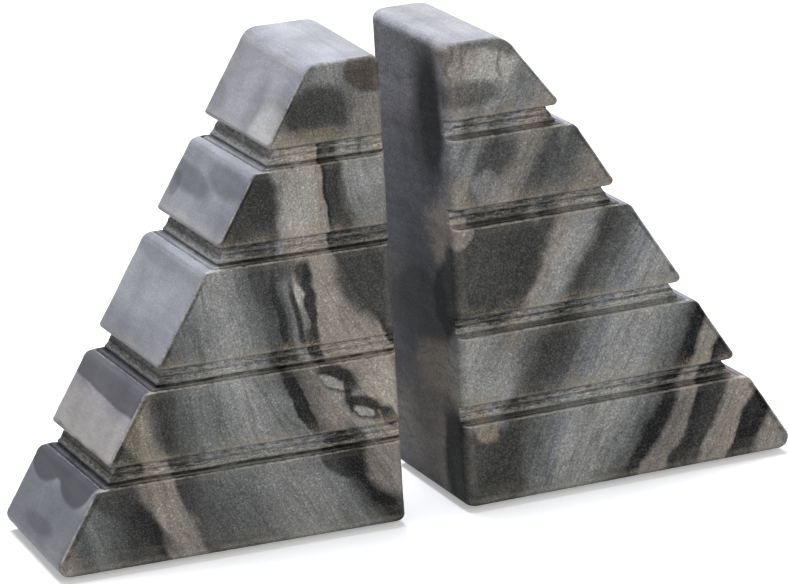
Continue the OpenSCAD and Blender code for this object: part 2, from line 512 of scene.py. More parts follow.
def buildStoneTree(values):
    floats = {**values, "Groove Tilt": 0.0, "Seed": 1.0}
    inputs = [("Rows", "Geometry", None), ("Columns", "Object", None), ("Material", "Material", None)]
    inputs += [(label, "Float", value) for label, value in floats.items()]
    outputs = [("Stone", "Geometry")]
    tree, given, result = newGroup("tieredStone", "GeometryNodeTree", inputs, outputs)

    columns = addNode(tree, "GeometryNodeObjectInfo", {"Object": given["Columns"]}).outputs["Geometry"]
    rowCount = addNode(tree, "GeometryNodeAttributeDomainSize", {0: given["Rows"]}).outputs["Point Count"]
    columnCount = addNode(tree, "GeometryNodeAttributeDomainSize", {0: columns}).outputs["Point Count"]
    grid = addNode(tree, "GeometryNodeMeshGrid", {"Vertices X": columnCount, "Vertices Y": rowCount})
    index = tree.nodes.new("GeometryNodeInputIndex").outputs[0]
    column = calc(tree, "FLOOR", calc(tree, "DIVIDE", calc(tree, "ADD", index, 0.5), rowCount))
    row = minus(tree, index, times(tree, column, rowCount))

    def sample(geometry, name, place):
        sockets = {"Value": namedField(tree, name), "Index": place}
        return geometryStep(tree, "SampleIndex", geometry, sockets, data_type="FLOAT", domain="POINT")

    ofRow = {key: sample(given["Rows"], key, row) for key in (*rowLengths, *masks)}
    ofColumn = {key: sample(columns, key, column) for key in columnKeys}

    length = minus(tree, ofRow["reach"], ofRow["book"])
    along = timesPlus(tree, length, ofColumn["share"], ofRow["book"])
    along = timesPlus(tree, ofRow["bookRound"], ofColumn["bookU"], along)
    along = minus(tree, along, times(tree, ofRow["slopeRound"], ofColumn["slopeU"]))
    depth = minus(tree, given["Half Depth"], ofRow["inset"])
    across = times(tree, depth, ofColumn["side"])
    across = timesPlus(tree, ofRow["bookRound"], ofColumn["bookV"], across)
    across = timesPlus(tree, ofRow["slopeRound"], ofColumn["slopeV"], across)
    upright = remap(tree, ofColumn["flat"], 0.0, 1.0, ofRow["height"], ofRow["level"])
    fade = calc(tree, "MINIMUM", upright, minus(tree, given["Height"], upright))
    fade = remap(tree, fade, 0.0, given["Tilt Fade"], 0.0, given["Groove Tilt"])
    backward = remap(tree, across, times(tree, given["Half Depth"], -1.0), given["Half Depth"])
    fall = times(tree, fade, backward)
    upright = minus(tree, upright, fall)
    wider = times(tree, fall, times(tree, given["Slope Run"], ofColumn["share"]))
    along = calc(tree, "ADD", along, wider)
    place = addNode(tree, "ShaderNodeCombineXYZ", {"X": along, "Y": across, "Z": upright}).outputs[0]

    shape = grid.outputs["Mesh"]
    edge = times(tree, ofColumn["edge"], ofRow["face"])
    grooved = remap(tree, ofColumn["flat"], 0.2, 0.9, 1.0, 0.0)
    marks = {key: times(tree, ofRow[key], grooved)
             for key in ("lip", "floor", "kerf", "bead", "stain")}
    onSlope = {"bead": 0.4, "kerf": 0.6}
    for key, share in onSlope.items():
        marks[key] = times(tree, marks[key], remap(tree, ofColumn["slope"], 0.0, 1.0, 1.0, share))
    crest = times(tree, ofRow["crest"], 0.6)
    marks["lip"] = remap(tree, ofColumn["slope"], 0.0, 1.0, marks["lip"], crest)
    marks["lip"] = larger(tree, marks["lip"], edge)
    # The front beside the slope corner gets a thin darker line through the same darkening mark as the saw
    # cuts
    seam = times(tree, ofColumn["seam"], ofRow["face"])
    marks["kerf"] = larger(tree, marks["kerf"], seam)
    smooth = times(tree, ofColumn["slope"], ofRow["slick"])
    # On the top and down its rounding into the book face the smooth colours also carry the top's painted
    # cool sheen
    smooth = larger(tree, smooth, times(tree, ofColumn["flat"], ofRow["topShade"]))
    marks["polish"] = larger(tree, ofRow["polish"], smooth)
    # This mark covers the smooth slope and top and the slope's groove floors, whose colours are the smooth
    # stone's own with painted cool light
    marks["tint"] = larger(tree, marks["polish"], times(tree, ofColumn["slope"], 0.8))
    marks["face"] = times(tree, ofRow["face"], minus(tree, 1.0, ofColumn["edge"]))
    for key, value in marks.items():
        shape = geometryStep(tree, "StoreNamedAttribute", shape, {"Name": key, "Value": value},
                             data_type="FLOAT", domain="POINT")
    shape = geometryStep(tree, "SetPosition", shape, {"Position": place})
    shape = geometryStep(tree, "MergeByDistance", shape, {"Distance": 0.02 * mm})

    # Wear only takes stone away: chips on the edges, a rough groove floor, slow waves on the faces
    spot = tree.nodes.new("GeometryNodeInputPosition").outputs[0]
    normal = tree.nodes.new("GeometryNodeInputNormal").outputs[0]
    seed = given["Seed"]
    lip = namedField(tree, "lip")

    def edgeLoss(size, low, high):
        lost = noise(tree, spot, oneOver(tree, given[size]), 2.0, 0.6, seed)[0]
        return times(tree, remap(tree, lost, low, high, smooth=True), lip)

    drawnOut = calcVector(tree, "MULTIPLY", spot, (0.6, 0.6, 1.8))
    floorNoise = noise(tree, drawnOut, oneOver(tree, given["Floor Grain"]), 2.0, 0.6, seed)[0]
    waveNoise = noise(tree, spot, oneOver(tree, given["Wave Length"]), 1.0, 0.5, seed)[0]
    depth = times(tree, edgeLoss("Chip Size", 0.42, 0.7), given["Chip Depth"])
    depth = timesPlus(tree, edgeLoss("Nick Size", 0.58, 0.75), given["Nick Depth"], depth)
    rough = times(tree, floorNoise, namedField(tree, "floor"))
    depth = timesPlus(tree, rough, given["Floor Depth"], depth)
    wave = times(tree, waveNoise, namedField(tree, "face"))
    depth = timesPlus(tree, wave, given["Face Wave"], depth)
    inward = scaleVector(tree, normal, times(tree, depth, -1.0))
    shape = geometryStep(tree, "SetPosition", shape, {"Offset": inward})

    # The saw lines in a groove are not quite straight
    sawn = larger(tree, namedField(tree, "kerf"), namedField(tree, "bead"))
    sawn = larger(tree, sawn, namedField(tree, "floor"))
    level = calcVector(tree, "MULTIPLY", spot, (1.0, 1.0, 0.0))
    drift = noise(tree, level, oneOver(tree, given["Drift Length"]), 2.0, 0.5, seed)[0]
    drift = times(tree, minus(tree, drift, 0.5), given["Line Drift"])
    lifted = addNode(tree, "ShaderNodeCombineXYZ", {"Z": times(tree, drift, sawn)}).outputs[0]
    shape = geometryStep(tree, "SetPosition", shape, {"Offset": lifted})

    shape = geometryStep(tree, "SetShadeSmooth", shape)
    shape = geometryStep(tree, "RealizeInstances", shape)
    shape = geometryStep(tree, "SetMaterial", shape, {"Material": given["Material"]})
    tree.links.new(shape, result["Stone"])
    return tree


def runTree(host, tree, values):
    modifier = host.modifiers.new(tree.name, "NODES")
    modifier.node_group = tree
    sockets = {item.name: item.identifier for item in tree.interface.items_tree
               if item.item_type == "SOCKET" and item.in_out == "INPUT"}
    for label, value in values.items():
        modifier[sockets[label]] = value
    depsgraph = bpy.context.evaluated_depsgraph_get()
    mesh = bpy.data.meshes.new_from_object(host.evaluated_get(depsgraph), preserve_all_data_layers=True,
                                           depsgraph=depsgraph)
    host.modifiers.remove(modifier)
    return mesh


def stonePlace(side):
    # The book face mount gives where a stone stands and which way it looks
    mount = mounts[side + "_book_face"]
    toe = -Vector(mount["axis"]).normalized()
    back = Vector((0, 0, 1)).cross(toe)
    if side == "left":
        back = -back
    place = Vector(mount["pos_m"])
    place.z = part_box(side + "_block")[0].z
    turn = Matrix((toe, back, Vector((0, 0, 1)))).transposed().to_4x4()
    return Matrix.Translation(place) @ turn


def placeMesh(mesh, matrix):
    mesh.transform(matrix)
    if matrix.determinant() < 0:
        mesh.flip_normals()
    shape = bmesh.new()
    shape.from_mesh(mesh)
    bmesh.ops.recalc_face_normals(shape, faces=shape.faces)
    shape.to_mesh(mesh)
    shape.free()
    mesh.update()


# Marble

palette = {
    "pale": rgb(0.43, 0.42, 0.39),
    "tan": rgb(0.30, 0.258, 0.205),
    "beige": rgb(0.295, 0.265, 0.23),
    "lightGrey": rgb(0.292, 0.297, 0.288),
    "blueGrey": rgb(0.20, 0.207, 0.220),
    "midGrey": rgb(0.190, 0.196, 0.192),
    "slate": rgb(0.112, 0.115, 0.112),
    "dark": rgb(0.056, 0.057, 0.054),
    "black": rgb(0.019, 0.019, 0.020),
    "brown": rgb(0.082, 0.070, 0.056),
    "mauve": rgb(0.24, 0.24, 0.265),
    "mist": rgb(0.275, 0.275, 0.290),
    "cream": rgb(0.355, 0.32, 0.275),
    "dusk": rgb(0.036, 0.036, 0.043),
    "lead": rgb(0.105, 0.107, 0.120),
}

# A bed has a shade, the place where it starts, in millimetres along u at the level of the underside, and
# half the width over which it starts. A patch lies on the beds, in the order given here: shade, share,
# centre and half size along u, v and up, lean towards the toe in degrees, softness of its rim
leftPatches = [
    ("midGrey", 0.9, (14, -33, 152), (28, 12, 16), 0, 0.3),
    ("lightGrey", 0.5, (20, -33, 161), (6, 10, 4.5), 0, 0.5),
    ("beige", 0.5, (7, -33, 146), (9, 10, 6), 0, 0.5),
    ("dark", 0.92, (25, -33, 147.5), (13, 12, 9.5), 0, 0.25),
    ("slate", 0.6, (12.5, -33, 158), (2.2, 10, 8), 0, 0.5),
    ("tan", 0.55, (30, -33, 140.5), (14, 10, 2.5), 0, 0.5),
    ("brown", 0.95, (4.5, -33, 160.5), (9.5, 12, 8), 0, 0.12),
    ("dark", 0.92, (54, -33, 119), (15, 12, 14), 0, 0.15),
    ("dark", 0.85, (18.5, -33, 119), (3.4, 12, 15), 5, 0.3),
    ("slate", 0.75, (45, -33, 88), (9, 14, 20), 12, 0.5),
    ("dark", 0.7, (47, -33, 94), (3, 14, 14), 18, 0.5),
    ("black", 0.75, (40.5, -33, 80), (1.5, 12, 18), 6, 0.4),
    ("dark", 0.93, (2, -33, 97), (18.5, 16, 24), 0, 0.12),
    ("lightGrey", 0.75, (7, -33, 120), (8.5, 12, 15), 0, 0.4),
    ("pale", 0.6, (33, -33, 119), (7, 12, 14), 0, 0.4),
    ("dark", 0.7, (36, -33, 96), (3.5, 10, 4), 0, 0.5),
    ("black", 0.9, (33.6, -33, 78), (1.5, 10, 13), 7, 0.4),
    ("black", 0.92, (29, -33, 81), (1.8, 10, 16), 4, 0.4),
    ("black", 0.85, (31.2, -33, 94), (2.4, 10, 4), 0, 0.4),
    ("pale", 0.85, (32, -33, 85.5), (1.5, 9, 4), 3, 0.35),
    ("midGrey", 0.7, (31.3, -33, 75), (1.3, 9, 7), 6, 0.35),
    ("dark", 0.85, (86, -33, 52), (5.5, 14, 14), 8, 0.45),
    ("tan", 0.7, (96, -33, 45), (5, 10, 9), 20, 0.3),
    ("cream", 0.75, (86, -33, 19), (5, 12, 15), 42, 0.4),
    ("black", 0.65, (92, -33, 13), (3.4, 12, 14), 40, 0.3),
    ("beige", 0.8, (25, -33, 50), (9, 12, 14), 25, 0.3),
    ("slate", 0.6, (33, -33, 49), (4.5, 12, 15), 21, 0.6),
    ("black", 0.95, (37, -33, 50), (2.6, 14, 15), 21, 0.2),
    ("black", 0.9, (28.5, -33, 66), (2.2, 12, 8), 15, 0.2),
    ("black", 0.92, (21.8, -33, 55.5), (4.4, 10, 8.5), 59, 0.25),
    ("pale", 0.85, (23.2, -33, 54.2), (1.8, 9, 5.8), 62, 0.3),
    ("black", 0.85, (18.6, -33, 49), (1.2, 10, 7), 0, 0.4),
    ("black", 0.92, (13, -33, 43.4), (4, 10, 7.5), 65, 0.25),
    ("pale", 0.85, (13.8, -33, 42.2), (1.6, 9, 4), 65, 0.3),
    ("lightGrey", 0.7, (7, -33, 40), (1.4, 9, 2), 40, 0.4),
    ("black", 0.9, (4.5, -33, 38), (3, 10, 5.5), 20, 0.2),
    ("slate", 0.75, (58, -14, 13), (22, 40, 17), 15, 0.5),
    ("lightGrey", 0.45, (40, -33, 18), (13, 12, 14), 30, 0.6),
    ("black", 0.8, (23, -33, 27.5), (6, 12, 8), 42, 0.12),
    ("beige", 0.8, (7, -33, 22), (6.5, 12, 11), 25, 0.3),
    ("dark", 0.85, (104, -33, 24), (5, 12, 8), 40, 0.25),
]

leftSmoothPatches = [
    ("lead", 0.2, (36, 0, 150), (20, 100, 13), 0, 0.3),
    # The mist patch below is a painted cool sheen over the top and its rounding
    ("mist", 0.5, (13, 0, 170), (34, 80, 8), 0, 0.4),
    ("mist", 0.4, (38, 12, 150), (14, 9, 9), 0, 0.5),
    ("lead", 0.45, (40, -8, 145), (14, 6, 11), 0, 0.5),
    ("lead", 0.5, (40, 30, 142), (14, 10, 6), 0, 0.5),
    ("pale", 0.6, (40, -26, 142), (14, 12, 8), 0, 0.35),
    ("mist", 0.5, (49, 20, 130), (12, 16, 4), 0, 0.4),
    ("mist", 0.35, (54, 0, 119), (18, 80, 13), 0, 0.3),
    ("lead", 0.8, (55, 18, 119), (14, 22, 4), 0, 0.3),
    ("lead", 0.75, (51, -16, 125), (14, 22, 4), 0, 0.3),
    ("lead", 0.45, (58, -22, 114), (12, 12, 5), 0, 0.5),
    ("dusk", 0.5, (57, 27, 115), (10, 4, 4), 0, 0.4),
    ("lead", 0.35, (69, 0, 98), (16, 80, 7), 0, 0.5),
    ("mist", 0.6, (76, 10, 84), (14, 40, 9), 0, 0.5),
    ("lead", 0.4, (84, 24, 71), (14, 18, 5), 0, 0.5),
    ("cream", 0.48, (101, 0, 43), (16, 70, 7), 0, 0.4),
    ("dusk", 0.85, (94, 0, 58.5), (16, 100, 7.5), 0, 0.08),
    ("lead", 0.85, (120, 0, 10), (18, 100, 14), 0, 0.3),
    ("midGrey", 0.4, (122, -22, 5), (12, 10, 6), 0, 0.5),
    ("dusk", 0.96, (112, 19, 29), (16, 17, 9), 0, 0.08),
    ("dusk", 0.96, (112, -14, 29), (16, 18, 9), 0, 0.08),
    ("dusk", 0.96, (112, 3, 31), (16, 12, 7), 0, 0.1),
    ("dusk", 0.55, (121, 2, 10.5), (12, 14, 2.5), 0, 0.4),
]

leftMarble = {
    "bedding": {"Lean": 0.15, "Fold Lean": 0.45, "Fold Height": 62.0, "Fold Rise": 2.0,
                "Fold Start": 40.0, "Ripple": 5.0},
    "seed": 3.0,
    "beds": [("midGrey", -99, 1), ("tan", -84, 3), ("midGrey", -74, 2), ("dark", -68.5, 0.6),
             ("lightGrey", -66.5, 0.8), ("dark", -52, 2.5), ("black", -40.5, 1), ("beige", -38, 0.6),
             ("cream", -33, 3), ("beige", -17, 3), ("lightGrey", -10, 1.5), ("dark", -5, 1.5),
             ("black", 0, 1), ("dark", 5.5, 0.6), ("midGrey", 9, 2.5), ("lightGrey", 20, 6),
             ("midGrey", 38, 6), ("slate", 56, 4), ("dark", 64, 3), ("beige", 72, 0.8), ("black", 85, 0.8),
             ("dark", 88, 1), ("slate", 99, 3), ("midGrey", 106, 3), ("slate", 111, 2), ("beige", 118, 3)],
    "patches": leftPatches,
    "smoothShare": 0.75,
    "smoothPatches": leftSmoothPatches,
    "grooveTilt": 1.8,  # how much lower the grooves run at the back
    "shape": {"bottomTier": 29.1, "topTier": 27.4},
}

rightPatches = [
    ("mauve", 0.85, (0, 12, 136), (6, 60, 44), 0, 0.4),
    ("mist", 0.6, (0, 20, 156), (6, 32, 20), 0, 0.5),
    ("lead", 0.8, (0, 12, 60), (5, 60, 70), 0, 0.4),
    ("cream", 0.9, (0, -20, 45), (5, 26, 12), 0, 0.4),
    ("cream", 0.5, (0, 5, 22), (6, 24, 17), 0, 0.5),
    ("dark", 0.85, (0, 18, 62), (6, 20, 10), 0, 0.3),
    ("dark", 0.9, (0, -2, 68), (6, 22, 13), 0, 0.2),
    ("cream", 0.95, (0, -20, 97), (5, 13, 11), 0, 0.4),
    ("dark", 0.8, (0, -13, 136), (5, 13, 26), 0, 0.4),
    ("black", 0.95, (0, -17, 137), (5, 10, 22), 0, 0.3),
    ("black", 0.97, (0, -27, 73), (6, 16, 14), 0, 0.15),
    ("cream", 0.5, (0, -12, 16), (4, 4, 15), 0, 0.4),
    ("black", 0.9, (0, -24, 16), (5, 10, 18), 0, 0.2),
    ("lightGrey", 0.95, (20, -33, 153), (20, 12, 14), 0, 0.4),
    ("pale", 0.95, (17, -33, 155), (11, 10, 7.5), 0, 0.5),
    ("dark", 0.5, (21, -33, 155), (0.8, 10, 7), 4, 0.5),
    ("midGrey", 0.5, (30, -33, 147), (6, 12, 9), 20, 0.4),
    ("tan", 0.45, (5, -33, 158), (7, 10, 9), 0, 0.25),
    ("brown", 0.5, (2.5, -33, 158), (0.7, 10, 8), 3, 0.4),
    ("brown", 0.35, (6.5, -33, 156), (0.5, 10, 9), -4, 0.4),
    ("dark", 0.65, (16, -33, 163), (15, 10, 3), 12, 0.5),
    ("dark", 0.65, (8, -33, 145.5), (13, 12, 4.5), 0, 0.35),
    ("midGrey", 0.5, (30, -33, 119), (30, 12, 14), 0, 0.4),
    ("dark", 0.55, (35, -33, 116), (4.5, 10, 14), 29, 0.5),
    ("tan", 0.55, (54, -33, 112), (5, 10, 7), 0, 0.4),
    ("dark", 0.75, (17, -33, 122), (7, 12, 11), 29, 0.4),
    ("lightGrey", 0.7, (13, -33, 112.5), (5, 12, 5), 10, 0.3),
    ("tan", 0.6, (3, -33, 112), (4, 8, 6), 0, 0.3),
    ("dark", 0.95, (13, -33, 84), (16.5, 16, 22), 25, 0.12),
    ("beige", 0.85, (2, -33, 98), (5, 8, 6), 30, 0.2),
    ("dark", 0.75, (31, -33, 50), (11, 12, 15), 27, 0.4),
    ("lightGrey", 0.85, (5, -33, 50), (15, 14, 15), 30, 0.25),
    ("dark", 0.9, (8, -33, 12), (12, 14, 18), 12, 0.2),
    ("tan", 0.9, (9, -33, 29), (4, 10, 6), 0, 0.2),
    ("slate", 0.45, (78, -33, 14), (5, 12, 16), 29, 0.4),
]

rightSmoothPatches = [
    # The mist patch below is a painted cool sheen over the top and its rounding
    ("mist", 0.5, (13, 0, 170), (34, 80, 8), 0, 0.4),
    ("lead", 0.5, (38, 16, 148), (14, 14, 8), 0, 0.5),
    ("lead", 0.6, (54, -10, 119), (14, 20, 5), 0, 0.35),
    ("mist", 0.4, (75, -12, 85), (14, 20, 8), 0, 0.5),
    ("dusk", 0.7, (95, 10, 55), (16, 30, 6), 0, 0.12),
    ("dusk", 0.7, (113, -14, 26), (16, 24, 7), 0, 0.12),
    ("lead", 0.6, (122, 12, 10), (16, 30, 7), 0, 0.3),
]

rightMarble = {
    "bedding": {"Lean": 0.55, "Ripple": 7.0},
    "seed": 7.0,
    "beds": [("beige", -99, 1), ("brown", -83, 1.5), ("beige", -79.5, 1.5), ("midGrey", -71, 2.5),
             ("slate", -66, 2), ("lightGrey", -61, 2), ("slate", -55.5, 2), ("blueGrey", -50, 2),
             ("beige", -45, 2), ("dark", -35, 3), ("midGrey", -27.5, 1.2), ("dark", -24.5, 1.5),
             ("beige", -17, 3), ("lightGrey", -10, 3), ("dark", 0, 3), ("slate", 10, 4), ("midGrey", 17, 2),
             ("blueGrey", 21, 1.5), ("lightGrey", 25, 2), ("midGrey", 47, 4), ("slate", 51.5, 3),
             ("black", 58, 1.6), ("beige", 66, 1.4), ("black", 74.2, 0.8), ("dark", 79, 3),
             ("beige", 86.5, 1.2), ("black", 98, 0.8), ("beige", 109, 1.6), ("midGrey", 120, 3)],
    "patches": rightPatches,
    "smoothShare": 0.6,
    "smoothPatches": rightSmoothPatches,
    "grooveTilt": 0.0,
    "shape": {"slopeEdge": 5.5, "underSlope": 1.8, "topSlope": 9.0, "topCut": 3.5, "dish": 0.15,
              "lowShadeAndDirt": 0.4, "highShadeAndDirt": 1.0},
}

finish = {
    "slopeFloorLight": 0.7,  # painted light on the shaded groove floors of the slope
    "threads": 0.3,  # dark hairlines on sawn stone
    "smoothGrain": 0.6,  # share of the grain that shows on smooth stone
    "cloudTone": (0.75, 1.25),
    "streakTone": (-0.16, 0.16),
    "crystalTone": (-0.36, 0.4),
    "glint": 0.5,
    "flecks": 0.22,
    "roughness": (0.42, 0.56),
    "wornRoughness": 0.35,
    "specular": 0.02,
    "coat": 0.3,
    "coatRoughness": 0.3,
    "crystalRelief": 0.25,
    "bump": 0.3,
    "bumpDepth": 0.4 * mm,
}


def buildBedsGroup():
    inputs = [("Place", "Vector", None)]
    inputs += [(label, "Float", value) for label, value in (
        ("Lean", 0.0), ("Fold Lean", 0.0), ("Fold Height", 60.0), ("Fold Rise", 0.0), ("Fold Start", 0.0),
        ("Fold Fade", 45.0), ("Fold End", 96.0), ("Warp", 8.0), ("Warp Length", 38.0), ("Ripple", 5.0),
        ("Ripple Length", 8.0), ("Seed", 0.0))]
    outputs = [("Bed", "Float"), ("Streaks", "Float"), ("Threads", "Float"),
               ("Warped", "Vector"), ("Drifted", "Vector")]
    tree, given, result = newGroup("stoneBeds", "ShaderNodeTree", inputs, outputs)

    def shift(length, amount, detail):
        scale = oneOver(tree, given[length])
        color = noise(tree, given["Place"], scale, detail, 0.5, given["Seed"])["Color"]
        return scaleVector(tree, calcVector(tree, "SUBTRACT", color, (0.5, 0.5, 0.5)), given[amount])

    def bedAt(place):
        u, v, z = addNode(tree, "ShaderNodeSeparateXYZ", {0: place}).outputs
        early = larger(tree, minus(tree, given["Fold Start"], u), 0.0)
        fold = timesPlus(tree, early, given["Fold Rise"], given["Fold Height"])
        folded = calc(tree, "SMOOTH_MIN", z, fold, 12.0)
        faded = remap(tree, u, given["Fold Fade"], given["Fold End"], given["Fold Lean"],
                      times(tree, given["Fold Lean"], 0.15))
        bed = minus(tree, u, times(tree, z, given["Lean"]))
        return minus(tree, bed, times(tree, folded, faded)), v, z

    drifted = calcVector(tree, "ADD", given["Place"], shift("Warp Length", "Warp", 1.0))
    warped = calcVector(tree, "ADD", drifted, shift("Ripple Length", "Ripple", 3.0))
    tree.links.new(warped, result["Warped"])
    tree.links.new(drifted, result["Drifted"])
    tree.links.new(bedAt(warped)[0], result["Bed"])
    even, v, z = bedAt(drifted)

    def layers(thickness, length, detail):
        thin = addNode(tree, "ShaderNodeCombineXYZ", {
            "X": calc(tree, "DIVIDE", even, thickness),
            "Y": calc(tree, "DIVIDE", v, length),
            "Z": calc(tree, "DIVIDE", z, length),
        }).outputs[0]
        return noise(tree, thin, 1.0, detail, 0.6, given["Seed"])[0]

    tree.links.new(layers(1.6, 22.0, 3.0), result["Streaks"])
    middle = calc(tree, "ABSOLUTE", minus(tree, layers(9.0, 50.0, 2.0), 0.5))
    tree.links.new(remap(tree, middle, 0.0, 0.02, 1.0, 0.0, smooth=True), result["Threads"])
    return tree


def buildPatchGroup():
    inputs = [("Place", "Vector", None), ("Centre", "Vector", None),
              ("Size", "Vector", (1, 1, 1)), ("Lean", "Float", 0.0),
              ("Softness", "Float", 0.2)]
    tree, given, result = newGroup("stonePatch", "ShaderNodeTree", inputs, [("Mask", "Float")])
    offset = calcVector(tree, "SUBTRACT", given["Place"], given["Centre"])
    turned = addNode(tree, "ShaderNodeVectorRotate", {"Vector": offset, "Angle": given["Lean"]},
                     rotation_type="Y_AXIS").outputs[0]
    scaled = calcVector(tree, "DIVIDE", turned, given["Size"])
    distance = addNode(tree, "ShaderNodeVectorMath", {0: scaled}, operation="LENGTH").outputs["Value"]
    inner = minus(tree, 1.0, given["Softness"])
    outer = calc(tree, "ADD", 1.0, given["Softness"])
    tree.links.new(remap(tree, distance, inner, outer, 1.0, 0.0, smooth=True), result["Mask"])
    return tree


def buildGrainGroup():
    inputs = [("Place", "Vector", None), ("Cloud Length", "Float", 22.0),
              ("Crystal Size", "Float", 0.6), ("Seed", "Float", 0.0)]
    outputs = [(label, "Float") for label in ("Clouds", "Crystals", "Sparkle")]
    tree, given, result = newGroup("stoneGrain", "ShaderNodeTree", inputs, outputs)
    cloudScale = oneOver(tree, given["Cloud Length"])
    clouds = noise(tree, given["Place"], cloudScale, 5.0, 0.6, given["Seed"])[0]
    tree.links.new(clouds, result["Clouds"])
    crystalScale = oneOver(tree, given["Crystal Size"])
    crystals = noise(tree, given["Place"], crystalScale, 2.0, 0.7, given["Seed"])[0]
    tree.links.new(crystals, result["Crystals"])
    cells = addNode(tree, "ShaderNodeTexVoronoi", {"Vector": given["Place"], "Scale": crystalScale}).outputs
    pick = addNode(tree, "ShaderNodeSeparateColor", {0: cells["Color"]}).outputs[0]
    tree.links.new(remap(tree, pick, 0.8, 1.0), result["Sparkle"])
    return tree


grooveMarks = ("Lip", "Floor", "Kerf", "Bead", "Stain")


def buildEdgeGroup():
    inputs = [("Color", "Color", None), ("Place", "Vector", None),
              ("Worn And Lit Color", "Color", rgb(0.56, 0.52, 0.45)),
              ("Stain Color", "Color", rgb(0.33, 0.27, 0.18)), ("Grain", "Float", 0.8)]
    inputs += [(label, "Float", 0.0) for label in grooveMarks]
    outputs = [("Color", "Color"), ("Rough", "Float"), ("Height", "Float")]
    tree, given, result = newGroup("edgeWear", "ShaderNodeTree", inputs, outputs)
    scale = oneOver(tree, given["Grain"])
    fine = noise(tree, given["Place"], scale, 3.0, 0.7)[0]
    patches = noise(tree, given["Place"], times(tree, scale, 0.12), 3.0, 0.6)[0]
    drawnOut = calcVector(tree, "MULTIPLY", given["Place"], (0.25, 0.25, 1.6))
    lines = noise(tree, drawnOut, scale, 3.0, 0.65)[0]

    wornShare = times(tree, given["Lip"], remap(tree, patches, 0.35, 0.6, 0.25, 1.0))
    wornShare = times(tree, wornShare, remap(tree, fine, 0.35, 0.6, 0.3, 1.0), clamp=True)
    color = mixColor(tree, times(tree, wornShare, 0.8), given["Color"], given["Worn And Lit Color"])
    specks = times(tree, remap(tree, patches, 0.38, 0.6), remap(tree, fine, 0.42, 0.6, 0.0, 0.6))
    stained = times(tree, given["Stain"], specks)
    color = mixColor(tree, stained, color, given["Stain Color"])

    # The broken floor keeps the colour of the stone, in light and dark lines along the groove, and is made
    # lighter overall as painted light in the shaded groove
    brokenAndLit = scaleVector(tree, color, remap(tree, lines, 0.36, 0.66, 0.55, 1.9))
    brokenAndLit = mixColor(tree, remap(tree, lines, 0.52, 0.68, 0.0, 0.45), brokenAndLit, given["Worn And Lit Color"])
    color = mixColor(tree, given["Floor"], color, brokenAndLit)
    fading = noise(tree, calcVector(tree, "MULTIPLY", given["Place"], (1.0, 1.0, 2.5)),
                   times(tree, scale, 0.08), 3.0, 0.6)["Color"]
    fadingBead, fadingShadeAndDirt, _ = addNode(tree, "ShaderNodeSeparateColor", {0: fading}).outputs
    # The ridges between saw passes are mixed towards pale: partly paler broken stone, partly a painted
    # highlight on their tops
    paleAndHighlit = times(tree, given["Bead"], remap(tree, fine, 0.35, 0.65, 0.1, 0.65))
    paleAndHighlit = times(tree, paleAndHighlit, remap(tree, fadingBead, 0.38, 0.6, 0.15, 1.0))
    color = mixColor(tree, paleAndHighlit, color, given["Worn And Lit Color"])
    # Painted shade, with some dirt, darkens the saw cuts and the line under the upper tier
    shadow = times(tree, given["Kerf"], remap(tree, lines, 0.35, 0.7, 0.9, 0.5))
    shadow = times(tree, shadow, remap(tree, fadingShadeAndDirt, 0.36, 0.56, 0.35, 1.0))
    color = scaleVector(tree, color, minus(tree, 1.0, shadow))
    tree.links.new(color, result["Color"])
    worst = larger(tree, wornShare, larger(tree, given["Floor"], given["Kerf"]))
    tree.links.new(worst, result["Rough"])
    tree.links.new(times(tree, fine, worst), result["Height"])
    return tree


bedsGroup = buildBedsGroup()
patchGroup = buildPatchGroup()
grainGroup = buildGrainGroup()
edgeGroup = buildEdgeGroup()


def stoneCoordinates(tree, matrix):
    # Object coordinates turned into millimetres along the stone: u, v and height
    inverse = matrix.inverted()
    mirrored = matrix.determinant() < 0
    flip = Matrix.Diagonal((-1 if mirrored else 1, 1, 1, 1))
    turn = (inverse @ flip).to_3x3()
    objectPlace = tree.nodes.new("ShaderNodeTexCoord").outputs["Object"]
    return addNode(tree, "ShaderNodeMapping", {
        "Vector": objectPlace,
        "Location": inverse.to_translation() / mm,
        "Rotation": turn.to_euler(),
        "Scale": (flip[0][0] / mm, 1 / mm, 1 / mm),
    }, vector_type="POINT").outputs[0]


def bedColor(tree, bed, beds):
    # A color ramp holds 32 stops, so the beds are shared between two ramps
    half = len(beds) // 2
    colors = []
    for some in (beds[:half + 1], beds[half:]):
        points = []
        for (before, *_), (after, start, blend) in zip(some, some[1:]):
            points += [(start - blend, before), (start + blend, after)]
        first, last = points[0][0], points[-1][0]
        ramp = addNode(tree, "ShaderNodeValToRGB", {0: remap(tree, bed, first, last)})
        stops = ramp.color_ramp.elements
        for spot, shade in points[1:-1]:
            stops.new((spot - first) / (last - first)).color = palette[shade]
        stops[0].color = palette[points[0][1]]
        stops[-1].color = palette[points[-1][1]]
        colors.append(ramp.outputs[0])
    return mixColor(tree, calc(tree, "GREATER_THAN", bed, beds[half][1] + beds[half][2]), *colors)


def layPatches(tree, color, patches, place, cover=None):
    for shade, share, centre, size, lean, softness in patches:
        sockets = {"Place": place, "Centre": centre, "Size": size, "Lean": math.radians(-lean),
                   "Softness": softness}
        mask = useGroup(tree, patchGroup, sockets)[0]
        amount = times(tree, mask, share)
        if cover is not None:
            amount = times(tree, amount, cover)
        color = mixColor(tree, amount, color, palette[shade])
    return color


